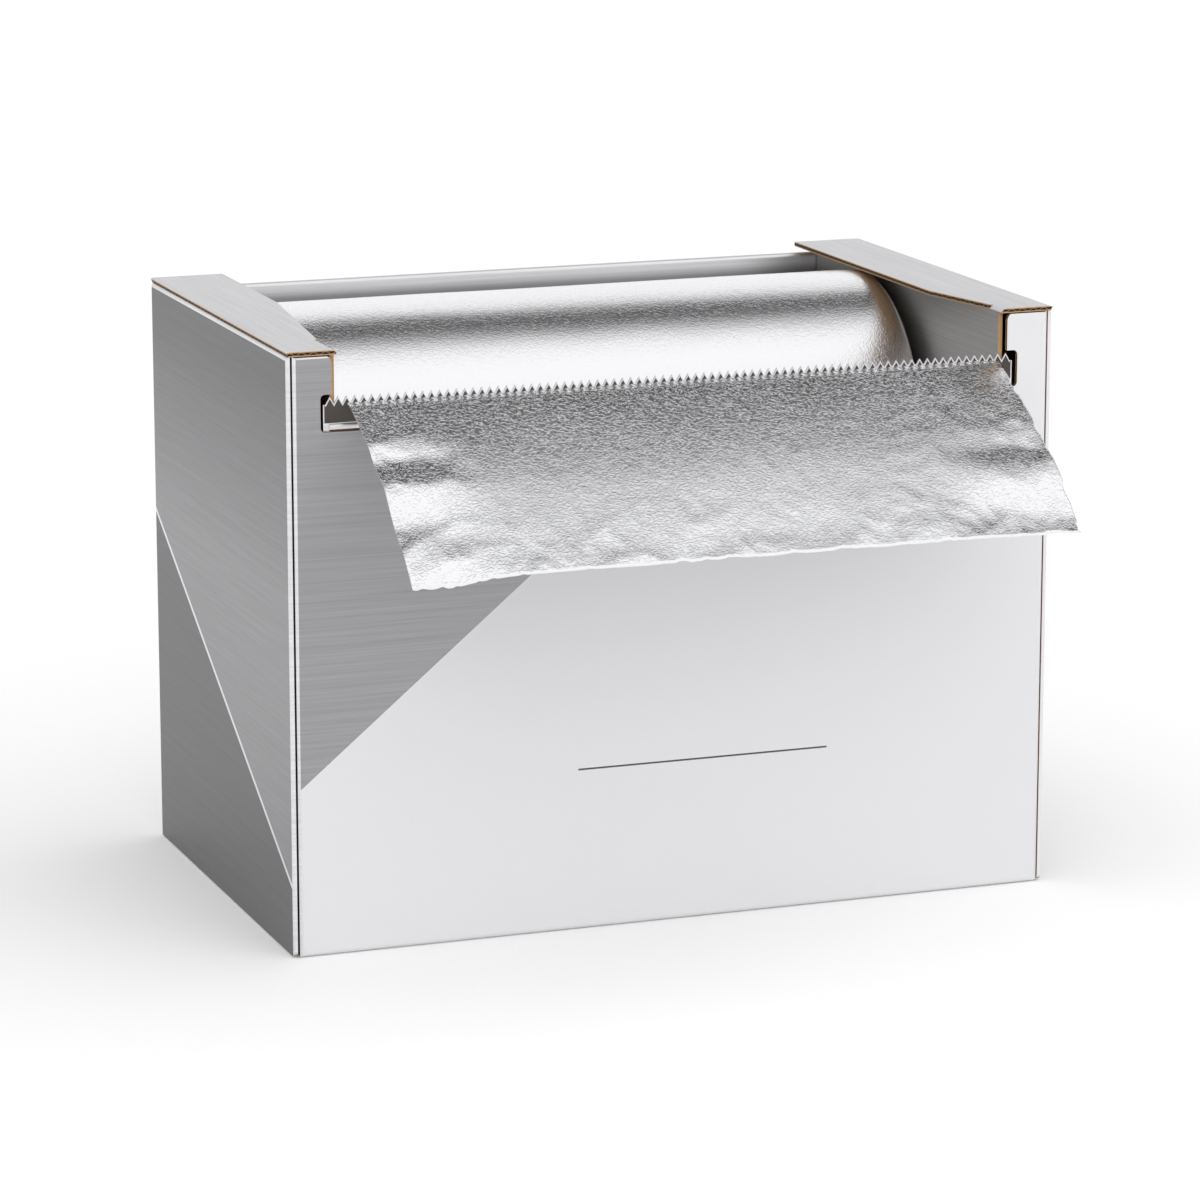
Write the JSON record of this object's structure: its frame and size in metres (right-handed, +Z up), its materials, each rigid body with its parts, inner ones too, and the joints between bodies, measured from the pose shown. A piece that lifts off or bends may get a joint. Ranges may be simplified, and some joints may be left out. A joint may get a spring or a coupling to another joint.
{
  "type": "aluminium foil roll",
  "caption": "Roll of thin aluminium foil in a folded card dispenser with an open top, a toothed cutting strip at the front and a sheet of foil drawn out over it.",
  "frame": {"origin": "centre of the carton's resting face", "axes": "+X along the roll to the right, +Y to the back, +Z up; the sheet leaves towards -Y"},
  "size_m": [0.141, 0.1213, 0.1053],
  "materials": {
    "printed_card": "silver and white print on fluted card",
    "blade_steel": "bright rolled strip",
    "core_card": "plain wound card",
    "foil": "embossed foil"
  },
  "bodies": {
    "root": {"carton_body": "printed_card", "left_end_fitting": "printed_card", "right_end_fitting": "printed_card", "cutter_blade": "blade_steel", "core_tube": "core_card", "foil_roll": "foil"}
  },
  "joints": []
}
